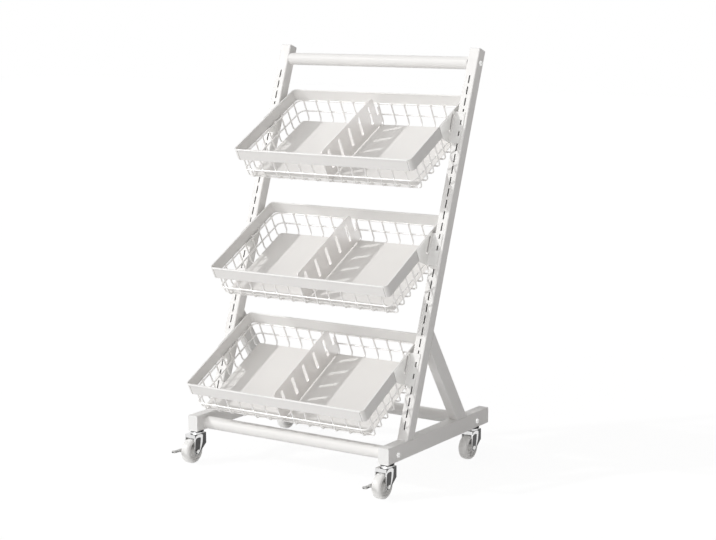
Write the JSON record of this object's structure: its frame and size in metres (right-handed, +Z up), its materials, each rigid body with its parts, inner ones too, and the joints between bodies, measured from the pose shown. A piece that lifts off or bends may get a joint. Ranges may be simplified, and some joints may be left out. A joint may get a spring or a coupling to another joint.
{
  "type": "rolling produce stand",
  "caption": "White steel display stand on swivel casters, with leaning slotted uprights, a push bar and tilted wire baskets on hook-in brackets, each with a liner and a sliding divider.",
  "frame": {"origin": "on the floor, under the middle of the whole stand's box", "axes": "+Z up, +X to the stand's right as seen from its front, +Y to the back"},
  "size_m": [0.6132, 0.55, 1.0428],
  "materials": {
    "frame_coat": "satin powder coat",
    "bracket_coat": "satin powder coat",
    "rim_coat": "satin powder coat",
    "wire_coat": "satin powder coat",
    "divider_coat": "satin powder coat",
    "liner_panel": "matte",
    "white_cap": "matte",
    "bolt_steel": "zinc plated",
    "insert_steel": "zinc plated",
    "caster_chrome": "polished",
    "stem_steel": "black zinc plated",
    "axle_steel": "zinc plated",
    "wheel_nylon": "smooth nylon",
    "pedal_plastic": "matte"
  },
  "bodies": {
    "frame": {"base_rail_left": "frame_coat", "upright_left": "frame_coat", "rear_brace_left": "frame_coat", "base_rail_right": "frame_coat", "upright_right": "frame_coat", "rear_brace_right": "frame_coat", "front_crossbar": "frame_coat", "rear_crossbar": "frame_coat", "handle_bar": "frame_coat", "rail_end_caps": "white_cap", "upright_caps": "white_cap", "bar_inserts": "insert_steel", "stem_nuts": "insert_steel", "frame_bolts": "bolt_steel", "bracket_bottom_left": "bracket_coat", "bracket_bottom_right": "bracket_coat", "bracket_middle_left": "bracket_coat", "bracket_middle_right": "bracket_coat", "bracket_top_left": "bracket_coat", "bracket_top_right": "bracket_coat", "caster_stems": "stem_steel"},
    "basket_bottom": {"basket_bottom_rim": "rim_coat", "basket_bottom_hoops": "wire_coat", "basket_bottom_long_wires": "wire_coat", "basket_bottom_cross_wires": "wire_coat", "basket_bottom_liner": "liner_panel"},
    "divider_bottom": {"basket_bottom_divider": "divider_coat"},
    "basket_middle": {"basket_middle_rim": "rim_coat", "basket_middle_hoops": "wire_coat", "basket_middle_long_wires": "wire_coat", "basket_middle_cross_wires": "wire_coat", "basket_middle_liner": "liner_panel"},
    "divider_middle": {"basket_middle_divider": "divider_coat"},
    "basket_top": {"basket_top_rim": "rim_coat", "basket_top_hoops": "wire_coat", "basket_top_long_wires": "wire_coat", "basket_top_cross_wires": "wire_coat", "basket_top_liner": "liner_panel"},
    "divider_top": {"basket_top_divider": "divider_coat"},
    "caster_front_left": {"caster_fork_front_left": "caster_chrome", "caster_axle_front_left": "axle_steel"},
    "wheel_front_left": {"caster_hub_front_left": "wheel_nylon", "caster_tyre_front_left": "wheel_nylon"},
    "pedal_left": {"brake_pedal_left": "pedal_plastic"},
    "caster_front_right": {"caster_fork_front_right": "caster_chrome", "caster_axle_front_right": "axle_steel"},
    "wheel_front_right": {"caster_hub_front_right": "wheel_nylon", "caster_tyre_front_right": "wheel_nylon"},
    "pedal_right": {"brake_pedal_right": "pedal_plastic"},
    "caster_rear_left": {"caster_fork_rear_left": "caster_chrome", "caster_axle_rear_left": "axle_steel"},
    "wheel_rear_left": {"caster_hub_rear_left": "wheel_nylon", "caster_tyre_rear_left": "wheel_nylon"},
    "caster_rear_right": {"caster_fork_rear_right": "caster_chrome", "caster_axle_rear_right": "axle_steel"},
    "wheel_rear_right": {"caster_hub_rear_right": "wheel_nylon", "caster_tyre_rear_right": "wheel_nylon"}
  },
  "joints": [
    {"name": "basket_bottom_lift", "type": "slide", "parent": "frame", "child": "basket_bottom", "axis": [0, -0.4633, 0.8862], "range_m": [0, 0.06]},
    {"name": "divider_bottom_slide", "type": "slide", "parent": "basket_bottom", "child": "divider_bottom", "axis": [1, 0, 0], "range_m": [-0.2, 0.2]},
    {"name": "basket_middle_lift", "type": "slide", "parent": "frame", "child": "basket_middle", "axis": [0, -0.4633, 0.8862], "range_m": [0, 0.06]},
    {"name": "divider_middle_slide", "type": "slide", "parent": "basket_middle", "child": "divider_middle", "axis": [1, 0, 0], "range_m": [-0.2, 0.2]},
    {"name": "basket_top_lift", "type": "slide", "parent": "frame", "child": "basket_top", "axis": [0, -0.4633, 0.8862], "range_m": [0, 0.06]},
    {"name": "divider_top_slide", "type": "slide", "parent": "basket_top", "child": "divider_top", "axis": [1, 0, 0], "range_m": [-0.2, 0.2]},
    {"name": "caster_front_left_swivel", "type": "hinge", "parent": "frame", "child": "caster_front_left", "pos_m": [-0.285, -0.193, 0], "axis": [0, 0, 1], "continuous": true},
    {"name": "wheel_front_left_spin", "type": "hinge", "parent": "caster_front_left", "child": "wheel_front_left", "pos_m": [-0.285, -0.216, 0.0315], "axis": [1, 0, 0], "continuous": true},
    {"name": "brake_pedal_left_press", "type": "hinge", "parent": "caster_front_left", "child": "pedal_left", "pos_m": [-0.285, -0.216, 0.0315], "axis": [1, 0, 0], "range_deg": [0, 20]},
    {"name": "caster_front_right_swivel", "type": "hinge", "parent": "frame", "child": "caster_front_right", "pos_m": [0.285, -0.193, 0], "axis": [0, 0, 1], "continuous": true},
    {"name": "wheel_front_right_spin", "type": "hinge", "parent": "caster_front_right", "child": "wheel_front_right", "pos_m": [0.285, -0.216, 0.0315], "axis": [1, 0, 0], "continuous": true},
    {"name": "brake_pedal_right_press", "type": "hinge", "parent": "caster_front_right", "child": "pedal_right", "pos_m": [0.285, -0.216, 0.0315], "axis": [1, 0, 0], "range_deg": [0, 20]},
    {"name": "caster_rear_left_swivel", "type": "hinge", "parent": "frame", "child": "caster_rear_left", "pos_m": [-0.285, 0.219, 0], "axis": [0, 0, 1], "continuous": true},
    {"name": "wheel_rear_left_spin", "type": "hinge", "parent": "caster_rear_left", "child": "wheel_rear_left", "pos_m": [-0.285, 0.196, 0.0315], "axis": [1, 0, 0], "continuous": true},
    {"name": "caster_rear_right_swivel", "type": "hinge", "parent": "frame", "child": "caster_rear_right", "pos_m": [0.285, 0.219, 0], "axis": [0, 0, 1], "continuous": true},
    {"name": "wheel_rear_right_spin", "type": "hinge", "parent": "caster_rear_right", "child": "wheel_rear_right", "pos_m": [0.285, 0.196, 0.0315], "axis": [1, 0, 0], "continuous": true}
  ]
}
